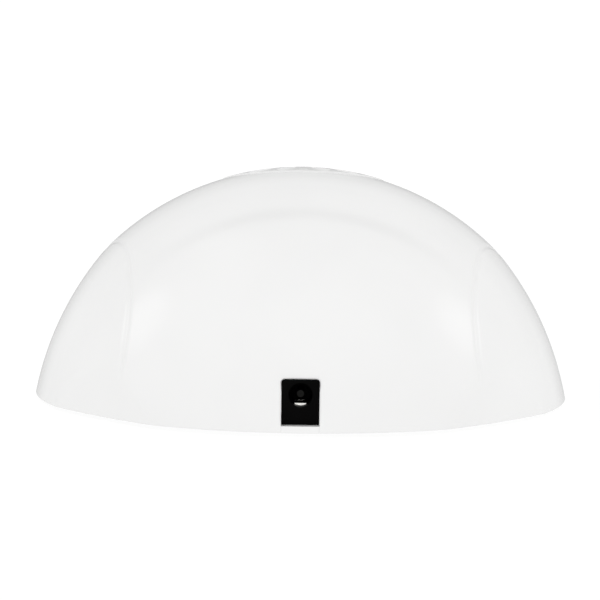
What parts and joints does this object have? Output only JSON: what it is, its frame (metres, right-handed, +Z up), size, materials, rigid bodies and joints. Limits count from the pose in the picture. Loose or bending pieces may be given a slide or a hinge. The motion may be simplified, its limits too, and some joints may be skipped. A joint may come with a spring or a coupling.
{
  "type": "uv curing lamp",
  "caption": "Glossy half-dome UV curing lamp with an arched front mouth, LED lined hollow, fluted top with a press button and a rear DC inlet.",
  "frame": {"origin": "on the table below the middle of the whole body's plan", "axes": "+Z up, -Y towards the user and the arched mouth, +Y to the rear with the DC inlet, X across the mouth"},
  "size_m": [0.1584, 0.1346, 0.0687],
  "materials": {
    "white_shell": "gloss",
    "white_lining": "satin",
    "white_rosette": "gloss",
    "white_button": "gloss",
    "clear_pipes": "polished",
    "switch_black": "matte",
    "tinned": "satin",
    "green_board": "satin",
    "chip_black": "matte",
    "capacitor_sleeve": "satin",
    "ferrite": "matte",
    "led_cream": "satin",
    "connector_cream": "matte",
    "screw_steel": "zinc plated",
    "aluminium_board": "white solder mask",
    "clear_lens": "polished",
    "wire_white": "satin",
    "jack_black": "satin",
    "plated_pin": "polished",
    "pin_metal": "satin",
    "wire_red": "satin",
    "wire_black": "satin",
    "wire_grey": "satin",
    "emitter_blue": "gloss",
    "receiver_black": "gloss",
    "grey_rubber": "matte"
  },
  "bodies": {
    "housing": {"outer_shell": "white_shell", "inner_shell": "white_lining", "top_rosette": "white_rosette", "indicator_light_pipes": "clear_pipes", "switch_housing": "switch_black", "switch_legs": "tinned", "control_board": "green_board", "board_chips": "chip_black", "board_capacitors": "capacitor_sleeve", "power_inductor": "ferrite", "indicator_leds": "led_cream", "board_connectors": "connector_cream", "board_screws": "screw_steel", "led_boards": "aluminium_board", "led_packages": "led_cream", "led_lenses": "clear_lens", "led_harness": "wire_white", "led_lead": "wire_white", "jack_housing": "jack_black", "jack_center_pin": "pin_metal", "jack_contact_spring": "plated_pin", "jack_terminals": "tinned", "supply_lead_positive": "wire_red", "supply_lead_negative": "wire_black", "sensor_board": "green_board", "infrared_emitter": "emitter_blue", "infrared_receiver": "receiver_black", "sensor_lead": "wire_grey", "housing_screws": "screw_steel", "rubber_feet": "grey_rubber"},
    "button": {"timer_button": "white_button"},
    "plunger": {"switch_plunger": "switch_black"}
  },
  "joints": [
    {"name": "button_press", "type": "slide", "parent": "housing", "child": "button", "axis": [0, 0.165, -0.9863], "range_m": [0, 0.0005], "stiffness_N_per_m": 400, "springref_m": -0.001},
    {"name": "plunger_press", "type": "slide", "parent": "housing", "child": "plunger", "axis": [0, 0.165, -0.9863], "range_m": [0, 0.0005]}
  ],
  "couplings": [
    {"joint": "plunger_press", "follows": "button_press", "ratio": 1}
  ]
}
